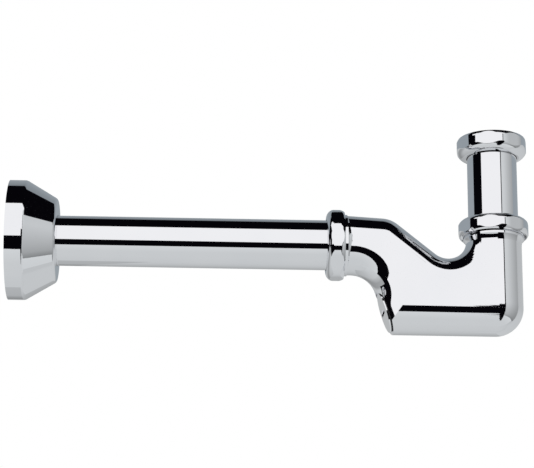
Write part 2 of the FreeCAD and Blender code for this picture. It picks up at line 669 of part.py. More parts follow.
def make_trap_body():
    """The cast body: a slab with full round edges, hollowed, with two spigots and a port."""
    body = new_body("trap_body")
    outline = new_sketch(body, "outline")
    draw_outline(outline, BODY_HALF, NECK_RADIUS, "0")
    slab = extrude(body, outline, "Pad", "2 * " + BODY_HALF)
    fillet(body, slab, "round_edges", f"{BODY_HALF} - edge_land", long_edge(size(BODY_HALF)))

    inlet = new_sketch(body, "inlet_spigot")
    draw_profile(inlet, spigot_corners("coupling_mouth", "-flare_start"), {1: ("flare_round", "right")})
    revolve(body, inlet)
    outlet = new_sketch(body, "outlet_spigot")
    flare_start = f"{NECK_END} - neck_flare"
    corners = along_outlet(spigot_corners(OUTLET_MOUTH, flare_start))
    draw_profile(outlet, corners, {1: ("neck_flare_round", "right")})
    revolve(body, outlet, axis="H_Axis")

    core = new_body("casting_core")
    hollow = new_sketch(core, "cavity")
    inner_half = f"({BODY_HALF} - body_wall)"
    draw_outline(hollow, inner_half, inner_half, "body_wall")
    cavity = extrude(core, hollow, "Pad", f"2 * {inner_half}")
    fillet(core, cavity, "cavity_edges", f"{inner_half} - edge_land", long_edge(size(inner_half)))
    cored = body.newObject("PartDesign::Boolean", "cored")
    cored.Type = "Cut"
    cored.setObjects([core])
    doc.recompute()

    inlet_bore = new_sketch(body, "inlet_bore")
    draw_profile(inlet_bore, bore_corners("coupling_mouth", "leg_height - collar_width"))
    revolve(body, inlet_bore, "Groove")
    outlet_bore = new_sketch(body, "outlet_bore")
    neck_bore = f"{NECK_END} - collar_width"
    draw_profile(outlet_bore, along_outlet(bore_corners(OUTLET_MOUTH, neck_bore)))
    revolve(body, outlet_bore, "Groove", "H_Axis")

    port = port_sketch(body, "port_bore")
    draw_profile(
        port,
        [
            ("0", "-port_through"),
            ("port_hole / 2", "-port_through"),
            ("port_hole / 2", "0"),
            ("plug_head / 2 + port_face_room", "0"),
            ("plug_head / 2 + port_face_room", f"{BODY_HALF} - port_offset + 1"),
            ("0", f"{BODY_HALF} - port_offset + 1"),
        ],
    )
    revolve(body, port, "Groove")
    foot = port_sketch(body, "port_foot")
    corners = [
        ("0", "0"),
        ("0", BODY_HALF),
        ("-2 * " + BODY_HALF, BODY_HALF),
        ("-2 * " + BODY_HALF, "0"),
    ]
    draw_profile(foot, corners)
    extrude(body, foot, "Pocket", "2 * " + BODY_HALF)
    place(body, up="-outlet_drop")
    return body


def make_inlet_group():
    """The inlet nut and what it clamps: friction ring, flanged dip tube and flat washer."""
    nut = make_nut(
        "inlet_nut",
        "inlet_nut_height",
        "inlet_nut_thread",
        "inlet_nut_floor",
        "inlet_nut_lip_step",
        "inlet_nut_crown",
        "inlet_nut_crown_round",
    )
    place(nut, rotation=UPRIGHT_TURN.multiply(FLIPPED))
    ring = make_slip_ring("friction_ring", "-" + FRICTION_FOOT, "-" + FRICTION_TOP)
    place(ring)
    end = "-outlet_drop - dip_depth"
    tube = turned(
        "inlet_tube",
        [
            (TUBE_BORE, end),
            (TUBE_RADIUS, end),
            (TUBE_RADIUS, "-" + FLANGE_FOOT),
            (f"{NUT_BORE} - flange_room", "-" + FLANGE_FOOT),
            (f"{NUT_BORE} - flange_room", "-" + FLANGE_TOP),
            (TUBE_BORE, "-" + FLANGE_TOP),
        ],
    )
    place(tube)
    washer = turned(
        "inlet_washer",
        [
            (f"{TUBE_BORE} + washer_lap", "-" + WASHER_FOOT),
            (f"{NUT_BORE} - washer_room", "-" + WASHER_FOOT),
            (f"{NUT_BORE} - washer_room", "-" + WASHER_TOP),
            (f"{TUBE_BORE} + washer_lap", "-" + WASHER_TOP),
        ],
    )
    place(washer)


def make_outlet_tube():
    """The plain tube from the trap body to the wall."""
    length = f"(outlet_reach - tube_set_back - {TUBE_ENTRY})"
    tube = turned(
        "outlet_tube",
        [
            (TUBE_BORE, "0"),
            (TUBE_RADIUS, "0"),
            (TUBE_RADIUS, length),
            (TUBE_BORE, length),
        ],
    )
    place(tube, across="-" + TUBE_ENTRY, up="-outlet_drop", rotation=ON_OUTLET["rotation"])
    return tube


def make_rosette():
    """The spun wall rosette: straight rim, cone and flat nose, with a neck round the tube.

    Its own Z runs from the wall plane towards the trap.
    """
    hole = f"{TUBE_RADIUS} + rosette_clearance"
    slope = "atan((rosette_outer - rosette_nose) / 2 / (rosette_depth - rosette_rim))"
    body = turned(
        "rosette",
        [
            ("0", "0"),
            ("rosette_outer / 2", "0"),
            ("rosette_outer / 2", "rosette_rim"),
            ("rosette_nose / 2", "rosette_depth"),
            ("0", "rosette_depth"),
        ],
    )
    rim_edge = circle_edge("rosette_outer / 2", "rosette_rim")
    rim = fillet(body, body.Tip, "rosette_rim_edge", "rosette_rim_round", rim_edge)
    nose_edge = circle_edge("rosette_nose / 2", "rosette_depth")
    fillet(body, rim, "rosette_nose_edge", "rosette_nose_round", nose_edge)
    inner_rim = ("rosette_outer / 2 - rosette_sheet", f"rosette_rim - rosette_sheet * tan({slope} / 2)")
    inner_nose = (
        f"rosette_nose / 2 + rosette_sheet * tan({slope}) - rosette_sheet / cos({slope})",
        "rosette_depth - rosette_sheet",
    )
    hollow = turned_cut(
        body,
        "rosette_hollow",
        [
            ("0", "-1"),
            ("rosette_outer / 2 - rosette_sheet", "-1"),
            inner_rim,
            inner_nose,
            ("0", "rosette_depth - rosette_sheet"),
        ],
    )
    inner_rim_round = "rosette_rim_round - rosette_sheet"
    inner = fillet(body, hollow, "rosette_inner_rim_edge", inner_rim_round, circle_edge(*inner_rim))
    inner_nose_round = "rosette_nose_round - rosette_sheet"
    fillet(body, inner, "rosette_inner_nose_edge", inner_nose_round, circle_edge(*inner_nose))
    neck = new_sketch(body, "rosette_neck_profile")
    draw_profile(
        neck,
        [
            ("0", "rosette_depth - rosette_neck"),
            (f"{hole} + rosette_sheet", "rosette_depth - rosette_neck"),
            (f"{hole} + rosette_sheet", "rosette_depth - rosette_sheet / 2"),
            ("0", "rosette_depth - rosette_sheet / 2"),
        ],
    )
    revolve(body, neck)
    turned_cut(
        body,
        "rosette_hole",
        [
            ("0", "rosette_depth - rosette_neck - 1"),
            (hole, "rosette_depth - rosette_neck - 1"),
            (hole, "rosette_depth + 1"),
            ("0", "rosette_depth + 1"),
        ],
    )
    place(body, across="-outlet_reach", up="-outlet_drop", rotation=Rotation(Vector(0, 1, 0), 90))
    return body


def make_plug_group():
    """The cleaning plug and its gasket, with Z out of the port and zero at the port's face."""
    gasket_foot = "face_gap"
    gasket_top = "(face_gap + gasket_thick)"
    gasket = turned(
        "plug_gasket",
        [
            ("port_hole / 2 + gasket_room", gasket_foot),
            ("plug_head / 2 - gasket_lap", gasket_foot),
            ("plug_head / 2 - gasket_lap", gasket_top),
            ("port_hole / 2 + gasket_room", gasket_top),
        ],
    )
    place(gasket, **ON_PORT)
    head_foot = f"({gasket_top} + face_gap)"
    rim = f"({head_foot} + plug_head_thick)"
    shank_end = f"({head_foot} - plug_shank_length)"
    dome_radius = "((plug_head ^ 2 / 4 + plug_dome ^ 2) / (2 * plug_dome))"
    plug = turned(
        "cleaning_plug",
        [
            ("0", f"{rim} + plug_dome"),
            ("0", f"{shank_end} + plug_cup_depth"),
            (f"{PLUG_RADIUS} - plug_wall", f"{shank_end} + plug_cup_depth"),
            (f"{PLUG_RADIUS} - plug_wall", shank_end),
            (f"{PLUG_RADIUS} - plug_lead_in", shank_end),
            (PLUG_RADIUS, f"{shank_end} + plug_lead_in"),
            (PLUG_RADIUS, head_foot),
            ("plug_head / 2", head_foot),
            ("plug_head / 2", rim),
        ],
        {8: (dome_radius, "left")},
    )
    slot = new_sketch(plug, "coin_slot")
    draw_profile(
        slot,
        [
            ("-slot_width / 2", f"{rim} + plug_dome - slot_depth"),
            ("slot_width / 2", f"{rim} + plug_dome - slot_depth"),
            ("slot_width / 2", f"{rim} + 2 * plug_dome"),
            ("-slot_width / 2", f"{rim} + 2 * plug_dome"),
        ],
    )
    extrude(plug, slot, "Pocket", "slot_length")
    place(plug, **ON_PORT)


make_inlet_group()
make_compression_joint("coupling", ON_INLET)
make_trap_body()
make_compression_joint("outlet", ON_OUTLET)
make_outlet_tube()
make_rosette()
make_plug_group()
doc.recompute()

# Every object has to be sound before a file is written
bodies = [item for item in doc.Objects if item.TypeId == "PartDesign::Body"]
pieces = [body for body in bodies if body.Label != "casting_core"]
for item in doc.Objects:
    if "Invalid" in item.State or "Error" in item.State:
        raise RuntimeError(f"{item.Name} failed: {item.State}")
for item in doc.Objects:
    if item.TypeId == "Sketcher::SketchObject" and not item.FullyConstrained:
        raise RuntimeError(f"{item.Name} is not fully constrained")
for piece in pieces:
    if piece.Shape.isNull() or not piece.Shape.isValid() or len(piece.Shape.Solids) != 1:
        raise RuntimeError(f"{piece.Label} is not one sound solid")

os.makedirs("parts", exist_ok=True)
for piece in pieces:
    piece.Shape.exportStep(f"parts/{piece.Label}.step")
    box = piece.Shape.BoundBox
    print(f"{piece.Label}: {piece.Shape.Volume / 1000:.2f} cm3, "
          f"X {box.XMin:.1f} to {box.XMax:.1f}, Y {box.YMin:.1f} to {box.YMax:.1f}, "
          f"Z {box.ZMin:.1f} to {box.ZMax:.1f}")
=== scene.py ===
# %% [markdown]
# A basin trap is the bent waste pipe under a washbasin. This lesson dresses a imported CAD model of
# one in polished chrome, winds its screw threads, and lights it as a catalogue picture is lit.
# The CAD model is the fixed frame: its pieces keep their shapes and places, and everything that
# is added here sits on them and moves with them.

# %% Load the frame
import math

import bmesh
import bpy
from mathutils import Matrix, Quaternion, Vector


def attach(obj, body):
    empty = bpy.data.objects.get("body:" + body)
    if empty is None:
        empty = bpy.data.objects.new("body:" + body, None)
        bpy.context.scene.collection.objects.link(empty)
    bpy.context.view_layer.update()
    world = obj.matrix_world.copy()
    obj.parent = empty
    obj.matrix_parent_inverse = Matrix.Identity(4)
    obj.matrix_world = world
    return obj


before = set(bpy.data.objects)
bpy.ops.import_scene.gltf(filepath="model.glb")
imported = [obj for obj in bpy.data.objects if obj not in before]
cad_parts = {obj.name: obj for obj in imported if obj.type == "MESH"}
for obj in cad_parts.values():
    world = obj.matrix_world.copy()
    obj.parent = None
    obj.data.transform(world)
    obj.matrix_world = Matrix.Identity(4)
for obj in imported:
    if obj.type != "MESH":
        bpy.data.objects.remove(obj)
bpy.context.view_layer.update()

print("pieces:", sorted(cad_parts))

# %% [markdown]
# The trap's sizes are written in millimetres, as on a workshop drawing, and Blender works in
# metres. The studio round it is a room, so its sizes are in metres from the start. Colours are
# written as they look on a screen, from 0 to 255. A shader wants them as amounts of light, and
# the screen's own curve turns the first into the second: a straight part near black, then a
# power.

# %% Units and colours
MM = 0.001
FULL_LEVEL = 255
STRAIGHT_END = 0.04045
STRAIGHT_SLOPE = 12.92
CURVE_OFFSET = 0.055
CURVE_POWER = 2.4


def light_of(level):
    """The amount of light behind one screen level from 0 to 255."""
    share = level / FULL_LEVEL
    if share <= STRAIGHT_END:
        return share / STRAIGHT_SLOPE
    return ((share + CURVE_OFFSET) / (1 + CURVE_OFFSET)) ** CURVE_POWER


def colour_of(red, green, blue):
    """A shader colour from three screen levels."""
    return (light_of(red), light_of(green), light_of(blue), 1.0)


print("middle grey holds", round(light_of(128), 3), "of white's light")

# %% [markdown]
# Materials and the world are small networks of nodes. Writing them out link by link hides what
# they do, so this helper adds a node with all its values in one line, and joins two nodes in
# another.

# %% A helper for networks of nodes


class Network:
    """A tree of nodes."""

    def __init__(self, tree):
        self.tree = tree

    def add(self, kind, **settings):
        """One node, with its settings and the values of its sockets."""
        node = self.tree.nodes.new(kind)
        for name, value in settings.items():
            if name in node.inputs:
                node.inputs[name].default_value = value
            else:
                setattr(node, name, value)
        return node

    def join(self, source, output, target, socket):
        """Links an output of one node to a socket of another."""
        self.tree.links.new(source.outputs[output], target.inputs[socket])


print("a network adds and joins nodes")

# %% [markdown]
# A finish is a material with one shader. On every piece of the trap a noise makes the colour
# drift a little and raises the surface by a trace, because no real surface is quite even. Both
# are the same few nodes each time, so the finish knows how to lay them.

# %% A helper for finishes


class Finish(Network):
    """A new material, its network of nodes and its shader."""

    def __init__(self, name):
        self.material = bpy.data.materials.new(name)
        self.material.use_nodes = True
        super().__init__(self.material.node_tree)
        self.shader = self.tree.nodes["Principled BSDF"]

    def drift(self, noise, one_colour, other_colour):
        """Lets a noise run the colour from one to the other."""
        tint = self.add("ShaderNodeMix", data_type="RGBA")
        tint.inputs["A"].default_value = one_colour
        tint.inputs["B"].default_value = other_colour
        self.join(noise, "Fac", tint, "Factor")
        self.join(tint, "Result", self.shader, "Base Color")

    def raise_by(self, noise, height):
        """Lets a noise raise the surface by up to a height in millimetres."""
        bump = self.add("ShaderNodeBump", Strength=1.0, Distance=height * MM)
        self.join(noise, "Fac", bump, "Height")
        self.join(bump, "Normal", self.shader, "Normal")


FINISHES = {}
print("a finish drifts in colour and rises in height")

# %% [markdown]
# Chrome is a mirror with a faint blue cast. What tells one chromed piece from another is how the
# brass under the plating was worked. A casting is buffed by hand and keeps a soft unevenness, a
# drawn tube has long faint waves along it, and a turned or spun piece has fine rings round its
# axis. So one function makes all of them: the object's own coordinates are stretched along or
# round an axis, a noise is read there, and it drives both a trace of height and the small changes
# in roughness.

# %% Polished chrome
CHROME_COLOUR = colour_of(241, 241, 243)
CHROME_SHADE = colour_of(235, 236, 239)
MARK_DETAIL = 3.0
CLOUDS_PER_METRE = 35.0
CLOUD_DETAIL = 2.0


def chrome(name, stretch, marks_per_metre, height, smooth, hazy):
    """Chrome over worked brass.

    stretch squeezes the marks along X, Y and Z, and smooth and hazy are the least and the most
    roughness.
    """
    finish = Finish(name)
    place = finish.add("ShaderNodeTexCoord")
    squeeze = finish.add("ShaderNodeMapping", Scale=stretch)
    marks = finish.add("ShaderNodeTexNoise", Scale=marks_per_metre, Detail=MARK_DETAIL)
    clouds = finish.add("ShaderNodeTexNoise", Scale=CLOUDS_PER_METRE, Detail=CLOUD_DETAIL)
    haze = finish.add("ShaderNodeMapRange")
    haze.inputs["To Min"].default_value = smooth
    haze.inputs["To Max"].default_value = hazy
    finish.join(place, "Object", squeeze, "Vector")
    finish.join(squeeze, "Vector", marks, "Vector")
    finish.join(place, "Object", clouds, "Vector")
    finish.join(marks, "Fac", haze, "Value")
    finish.join(haze, "Result", finish.shader, "Roughness")
    finish.drift(clouds, CHROME_COLOUR, CHROME_SHADE)
    finish.raise_by(marks, height)
    finish.shader.inputs["Metallic"].default_value = 1.0
    return finish.material


print("chrome drifts between", CHROME_COLOUR[:3], "and", CHROME_SHADE[:3])

# %% [markdown]
# Five kinds of work are enough for the trap. The cast body has the broadest marks and the most
# height. The two tubes have the same long waves, one along Z and the other along X. The nuts and
# the plug have close marks all over, and the spun rosette's marks are drawn out across its axis.

# %% The five chromes
# For each: the stretch, marks in a metre, height in millimetres, least and most roughness.
CHROMES = {
    "cast_chrome": ((1, 1, 1), 60.0, 0.01, 0.02, 0.05),
    "upright_tube_chrome": ((1, 1, 0.05), 90.0, 0.002, 0.015, 0.03),
    "level_tube_chrome": ((0.05, 1, 1), 90.0, 0.002, 0.015, 0.03),
    "nut_chrome": ((1, 1, 1), 140.0, 0.003, 0.02, 0.04),
    "spun_chrome": ((1, 0.3, 0.3), 120.0, 0.003, 0.02, 0.04),
}
for name, working in CHROMES.items():
    FINISHES[name] = chrome(name, *working)
print("chrome finishes:", sorted(CHROMES))

# %% [markdown]
# The hidden pieces are black rubber and milky plastic. Both are moulded, so they are alike in
# their nodes: the rubber has a fine matt skin with a little bloom, and the plastic is smoother
# and pale.

# %% Rubber and plastic
SKIN_DETAIL = 4.0


def moulded(name, dark, pale, grains_per_metre, roughness, height):
    """A moulded finish whose colour and surface vary a little with a noise."""
    finish = Finish(name)
    place = finish.add("ShaderNodeTexCoord")
    skin = finish.add("ShaderNodeTexNoise", Scale=grains_per_metre, Detail=SKIN_DETAIL)
    finish.join(place, "Object", skin, "Vector")
    finish.drift(skin, colour_of(*dark), colour_of(*pale))
    finish.raise_by(skin, height)
    finish.shader.inputs["Roughness"].default_value = roughness
    return finish.material


# For each: two colours, grains in a metre, roughness, height in millimetres.
MOULDINGS = {
    "black_rubber": ((26, 26, 27), (40, 40, 42), 900.0, 0.62, 0.03),
    "milky_plastic": ((214, 215, 211), (228, 229, 226), 300.0, 0.38, 0.01),
}
for name, mix in MOULDINGS.items():
    FINISHES[name] = moulded(name, *mix)
print("moulded finishes:", sorted(MOULDINGS))

# %% [markdown]
# Each CAD piece now gets its finish. The pieces arrive with one plain material each, so its slot
# is filled with the new one.

# %% Dress the CAD pieces
NODE_FINISH = {
    "trap_body": "cast_chrome",
    "inlet_tube": "upright_tube_chrome",
    "outlet_tube": "level_tube_chrome",
    "inlet_nut": "nut_chrome",
    "coupling_nut": "nut_chrome",
    "outlet_nut": "nut_chrome",
    "cleaning_plug": "nut_chrome",
    "rosette": "spun_chrome",
    "inlet_washer": "black_rubber",
    "coupling_seal": "black_rubber",
    "outlet_seal": "black_rubber",
    "plug_gasket": "black_rubber",
    "friction_ring": "milky_plastic",
    "coupling_slip_ring": "milky_plastic",
    "outlet_slip_ring": "milky_plastic",
}
for name, finish in NODE_FINISH.items():
    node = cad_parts[name]
    node.data.materials.clear()
    node.data.materials.append(FINISHES[finish])
    print(name, "is", finish)

# %% [markdown]
# The threads, the studio's cards and the floor are all meshes that are worked out from numbers,
# so this helper turns a list of points and a list of faces into an object.

# %% A helper for meshes


def mesh_object(name, points, faces, material):
    """An object with these points and faces, in one material."""
    mesh = bpy.data.meshes.new(name)
    mesh.from_pydata(points, [], faces)
    mesh.materials.append(material)
    made = bpy.data.objects.new(name, mesh)
    bpy.context.collection.objects.link(made)
    return made


print("a mesh object is made from points, faces and a material")

# %% [markdown]
# Nuts and spigots are held together by pipe threads, and the cleaning plug by a finer one. The
# CAD model stops at the roots of these threads, so their ridges are wound here as real helices. A
# screw modifier would end each ridge in a blunt step, so the points are placed one by one: a
# ridge rises out of its root over a quarter turn and sinks back in the same way, as a cut thread
# does.

# %% Wind a thread
STEPS_PER_TURN = 64
FADE_TURNS = 0.25
ROOT_BITE = 0.06
# The ridge's outline: the distance along the axis in pitches, and the share of the full height.
PROFILE = [(-0.35, 0.0), (-0.13, 0.86), (-0.07, 1.0), (0.07, 1.0), (0.13, 0.86), (0.35, 0.0)]


def wind(mouth, along, root, crest, pitch, reach, shift):
    """The points and faces of one ridge.

    mouth and along are a point and a direction on the axis, root and crest are radii, reach holds
    the first and last distance from the mouth, and shift is the ridge's place in its pitch.
    """
    along = Vector(along).normalized()
    side = along.orthogonal().normalized()
    cross = along.cross(side)
    first, last = [distance / pitch - shift for distance in reach]
    steps = math.ceil((last - first) * STEPS_PER_TURN)
    bite = math.copysign(ROOT_BITE, root - crest)
    points = []
    for step in range(steps + 1):
        turns = first + (last - first) * step / steps
        angle = turns * math.tau
        rise = min(1.0, (turns - first) / FADE_TURNS, (last - turns) / FADE_TURNS)
        spoke = side * math.cos(angle) + cross * math.sin(angle)
        for offset, share in PROFILE:
            radius = root + bite + (crest - root - bite) * share * rise
            height = (turns + shift + offset) * pitch
            points.append((Vector(mouth) + spoke * radius + along * height) * MM)
    count = len(PROFILE)
    faces = [tuple(range(count)), tuple(range(steps * count, (steps + 1) * count))]
    for step in range(steps):
        for corner in range(count):
            here, there = step * count + corner, step * count + (corner + 1) % count
            faces.append((here, there, there + count, here + count))
    return points, faces


print("one turn of a ridge has", STEPS_PER_TURN * len(PROFILE), "points")

# %% [markdown]
# The ridge becomes an object with its faces turned outwards, so that it takes light as metal
# does. It rides on the body that it is cut into, and a nut takes its thread along when it screws
# off.

# %% Make a thread


def thread(name, body, finish, seat, cut):
    """Winds a ridge of a cut at a seat and lets it ride on a body."""
    points, faces = wind(*seat, *cut)
    ridge = mesh_object(name, points, faces, finish)
    tidy = bmesh.new()
    tidy.from_mesh(ridge.data)
    bmesh.ops.recalc_face_normals(tidy, faces=tidy.faces)
    tidy.to_mesh(ridge.data)
    tidy.free()
    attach(ridge, body)
    print(name, "has", len(faces), "faces")


print("threads fade in and out over", FADE_TURNS, "of a turn")

# %% [markdown]
# Each thread has a seat, which is the mouth that it starts from and the way that it runs. The cut
# is its size. The ridges inside a nut lie half a pitch along from those on its spigot, so that
# one runs in the groove of the other, and all are right-handed, so they stay in their grooves
# while a nut screws off.

# %% Screw threads
OUTLET_HEIGHT = -73.0
COUPLING_RISE = 6.9
OUTLET_REACH = 96.7
PORT_TILT = math.radians(17.6)
PORT_OUTWARD = Vector((-math.cos(PORT_TILT), 0.0, -math.sin(PORT_TILT)))
PORT_CENTRE = Vector((-58.6, 0.0, -40.2 + OUTLET_HEIGHT))
PORT_STANDS_OUT = 11.9
UP, DOWN, TO_WALL = (0, 0, 1), (0, 0, -1), (-1, 0, 0)
SEATS = {
    "inlet": ((0.0, 0.0, 0.0), DOWN),
    "coupling": ((0.0, 0.0, COUPLING_RISE + OUTLET_HEIGHT), UP),
    "outlet": ((-OUTLET_REACH, 0.0, OUTLET_HEIGHT), TO_WALL),
    "port": (PORT_CENTRE + PORT_OUTWARD * PORT_STANDS_OUT, -PORT_OUTWARD),
}

PIPE_PITCH = 2.309
PLUG_PITCH = 1.5
IN_STEP, HALF_A_PITCH_ON = 0.0, 0.5
# For each: the radii of the root and the crest, the pitch, the reach, and the place in the pitch.
CUTS = {
    "pipe_spigot": (19.6, 20.95, PIPE_PITCH, (1.4, 6.1), IN_STEP),
    "pipe_nut": (21.1, 19.75, PIPE_PITCH, (0.9, 6.8), HALF_A_PITCH_ON),
    "inlet_nut": (21.1, 19.75, PIPE_PITCH, (0.9, 5.2), HALF_A_PITCH_ON),
    "plug_shank": (8.2, 8.9, PLUG_PITCH, (0.6, 5.5), IN_STEP),
    "port_wall": (9.0, 8.3, PLUG_PITCH, (0.9, 7.0), HALF_A_PITCH_ON),
}

# For each: the body that it rides on, its slot, its finish, its seat and its cut.
THREADS = {
    "coupling_spigot_thread": ("trap", "body", "cast_chrome", "coupling", "pipe_spigot"),
    "coupling_nut_thread": ("coupling_nut", "nuts", "nut_chrome", "coupling", "pipe_nut"),
    "outlet_spigot_thread": ("trap", "body", "cast_chrome", "outlet", "pipe_spigot"),
    "outlet_nut_thread": ("outlet_nut", "nuts", "nut_chrome", "outlet", "pipe_nut"),
    "inlet_nut_thread": ("inlet_nut", "nuts", "nut_chrome", "inlet", "inlet_nut"),
    "plug_thread": ("cleaning_plug", "plug", "nut_chrome", "port", "plug_shank"),
    "port_thread": ("trap", "body", "cast_chrome", "port", "port_wall"),
}
for name, (body, slot, finish, seat, cut) in THREADS.items():
    thread(name, body, FINISHES[finish], SEATS[seat], CUTS[cut])

# %% [markdown]
# A mirror shows only what stands round it, so lighting chrome is building a room for it to
# reflect. Each card of the room is a patch of a great ball round the trap, and a direction from
# the ball's centre takes two angles. Upright cards are measured as on a globe, by a turn from the
# front towards the right and a rise. Cards over the trap are measured on hoops that run from the
# front over the top, because an edge of equal sweep runs along the level tube, which shows it as
# a straight line.

# %% Directions in the room
STUDIO_CENTRE = Vector((-0.146, 0.0, -0.066))


def upright(turn, rise):
    """The direction at a turn from the front towards the right, and a rise."""
    turn, rise = math.radians(turn), math.radians(rise)
    level = math.cos(rise)
    return Vector((level * math.sin(turn), -level * math.cos(turn), math.sin(rise)))


def overhead(sweep, lean):
    """The direction on a hoop from the front over the top, leaning to the right."""
    sweep, lean = math.radians(sweep), math.radians(lean)
    across = math.cos(lean)
    return Vector((math.sin(lean), -across * math.cos(sweep), across * math.sin(sweep)))


print("a card over the top lies towards", [round(part, 2) for part in overhead(90, 0)])

# %% [markdown]
# A card's place is given by two lists of stops. Each stop is an angle and the share of the card's
# light there, so a card can be even, or carry a painted fall-off, fading as a real sheet of paper
# does where it bends away from its lamp. The shares are kept in the mesh as a colour attribute,
# which the card's glow reads.

# %% The cards' stops
CARD_STEP = 3.0


def even(start, end):
    """Stops for a card that is equally bright from start to end."""
    return [(start, 1.0), (end, 1.0)]


def filled(stops):
    """The same stops with more between them, at most a card step apart."""
    spread = []
    for (start, dim), (end, bright) in zip(stops, stops[1:]):
        count = max(1, math.ceil((end - start) / CARD_STEP))
        for item in range(count):
            part = item / count
            spread.append((start + (end - start) * part, dim + (bright - dim) * part))
    return spread + [stops[-1]]


print("a card from 0 to 10 degrees has", len(filled(even(0, 10))), "lines of points")

# %% [markdown]
# All cards share one material, a plain glow in the colour that each mesh keeps at its points. It
# has no lamp's falloff, so a card looks equally bright wherever it is seen from.

# %% The cards' glow


def make_card_glow():
    """The cards' shared material: each point shines with the colour kept in the mesh."""
    material = bpy.data.materials.new("card_glow")
    material.use_nodes = True
    network = Network(material.node_tree)
    network.tree.nodes.clear()
    kept = network.add("ShaderNodeAttribute", attribute_name="glow")
    emission = network.add("ShaderNodeEmission")
    output = network.add("ShaderNodeOutputMaterial")
    network.join(kept, "Color", emission, "Color")
    network.join(emission, "Emission", output, "Surface")
    return material


card_glow = make_card_glow()
print("cards glow by", card_glow.name)

# %% [markdown]
# The cards are hidden from the camera, and they cast no shadow and no light on dull surfaces,
# which the lamps take care of. Where two cards overlap, the one on the nearer layer is seen.

# %% Make a card
STUDIO_RADIUS = 3.0


def card(name, colour, direction, first, second, layer):
    """A glowing patch of the ball between its stops, nearer than the ball by its layer."""
    across, along = filled(first), filled(second)
    points = []
    glows = []
    for one, share in across:
        for two, other in along:
            points.append(STUDIO_CENTRE + direction(one, two) * (STUDIO_RADIUS - layer))
            glows.append([channel * share * other for channel in colour[:3]] + [1.0])
    faces = []
    width = len(along)
    for row in range(len(across) - 1):
        for column in range(width - 1):
            corner = row * width + column
            faces.append((corner, corner + 1, corner + width + 1, corner + width))
    panel = mesh_object(name, points, faces, card_glow)
    glow = panel.data.color_attributes.new("glow", "FLOAT_COLOR", "POINT")
    for item, value in zip(glow.data, glows):
        item.color = value
    panel.visible_camera = False
    panel.visible_shadow = False
    panel.visible_diffuse = False
    print(name, "has", len(faces), "faces")


WHITE = colour_of(254, 254, 255)
BLACK = colour_of(6, 5, 9)
# The two greys are painted light: each is the glow that a lit grey sheet would send back.
LIT_GREY_GLOW = colour_of(214, 217, 218)
LIT_BLUE_GREY_GLOW = colour_of(156, 164, 170)
SHEET_LAYER, CORNER_LAYER, WALL_LAYER = 0.0, 0.05, 0.1
SOFTBOX_LAYER, STEP_LAYER, FLAG_LAYER = 0.2, 0.25, 0.3
print("cards hang", STUDIO_RADIUS - FLAG_LAYER, "to", STUDIO_RADIUS, "m from the trap")

# %% [markdown]
# The room goes from the outside in. First come the grey sheets. They are no lamps, so the light
# that a lit sheet would send back is painted into their glow. A blue-grey one hangs behind the
# trap, and the outermost edges of the tubes and nuts show it. The ground below glows light grey,
# with a painted fall-off that makes it brighter in front than at the back, so that the undersides
# shade off as they turn away. Two patches of ground are lighter: at the left the hollow under the
# throat shows one, and at the right the round foot. The left patch also holds a band of painted
# shade, which darkens the throat's lower edge.

# %% Hang the sheets
BACK_TURN = even(98, 254)
BACK_RISE = [(8, 0.88), (17, 1.0), (45, 0.90), (60, 0.76), (72, 0.5)]
card("back_sheet", LIT_BLUE_GREY_GLOW, upright, BACK_TURN, BACK_RISE, SHEET_LAYER)

FRONT_TURN = even(-90, 90)
FRONT_RISE = [(-90, 0.97), (-60, 0.98), (-33, 1.08)]
card("ground_front", LIT_GREY_GLOW, upright, FRONT_TURN, FRONT_RISE, SHEET_LAYER)

REAR_TURN = even(90, 270)
REAR_RISE = [(-90, 0.97), (-60, 0.93), (-45, 0.87), (-33, 0.79), (-18, 0.67), (8, 0.56)]
card("ground_back", LIT_GREY_GLOW, upright, REAR_TURN, REAR_RISE, SHEET_LAYER)

LEFT_TURN = [(186, 0.72), (215, 0.82), (250, 0.95), (283, 1.03)]
# Between rises of -15 and -4 the shares dip to 0.60: a band of painted shade for the throat's lower
# edge.
LEFT_RISE = [(-60, 1.0), (-30, 0.95), (-15, 0.60), (-4, 0.60), (2, 1.0), (13, 1.0)]
card("left_ground", LIT_GREY_GLOW, upright, LEFT_TURN, LEFT_RISE, CORNER_LAYER)

RIGHT_TURN = [(98, 0.74), (108, 0.80), (165, 0.80)]
RIGHT_RISE = [(-50, 1.17), (-30, 1.15), (-5, 1.10), (8, 1.0), (15.9, 0.99)]
card("right_ground", LIT_GREY_GLOW, upright, RIGHT_TURN, RIGHT_RISE, CORNER_LAYER)

# %% [markdown]
# Next come the pieces that give chrome its bite. A black gap between the ground and the softbox
# draws the dark line low on each level piece. Black flags at the left draw the broad dark band on
# the upright tube, a light grey wall at the right, whose glow has a painted fall-off that dims it
# as it turns away, fills that tube's right side, and a narrow black strip between the wall and the
# softbox draws the thin line between them.

# %% Hang the gap, the wall and the flags
GAP_LEFT, GAP_FOOT = -60, -33
SOFTBOX_LEFT, SOFTBOX_RIGHT = -57, 34
SOFTBOX_FOOT, SOFTBOX_TOP = -8, 54
GAP_TURN = even(GAP_LEFT, SOFTBOX_RIGHT)
GAP_RISE = even(GAP_FOOT, SOFTBOX_FOOT)
card("front_gap", BLACK, upright, GAP_TURN, GAP_RISE, WALL_LAYER)

WALL_TURN = [(SOFTBOX_RIGHT, 1.03), (48, 1.0), (58, 0.91), (69, 0.80), (87, 0.65), (98, 0.57)]
WALL_RISE = [(-36, 0.50), (-28, 0.70), (-6, 0.84), (17, 1.0), (60, 1.0)]
card("right_wall", LIT_GREY_GLOW, upright, WALL_TURN, WALL_RISE, WALL_LAYER)

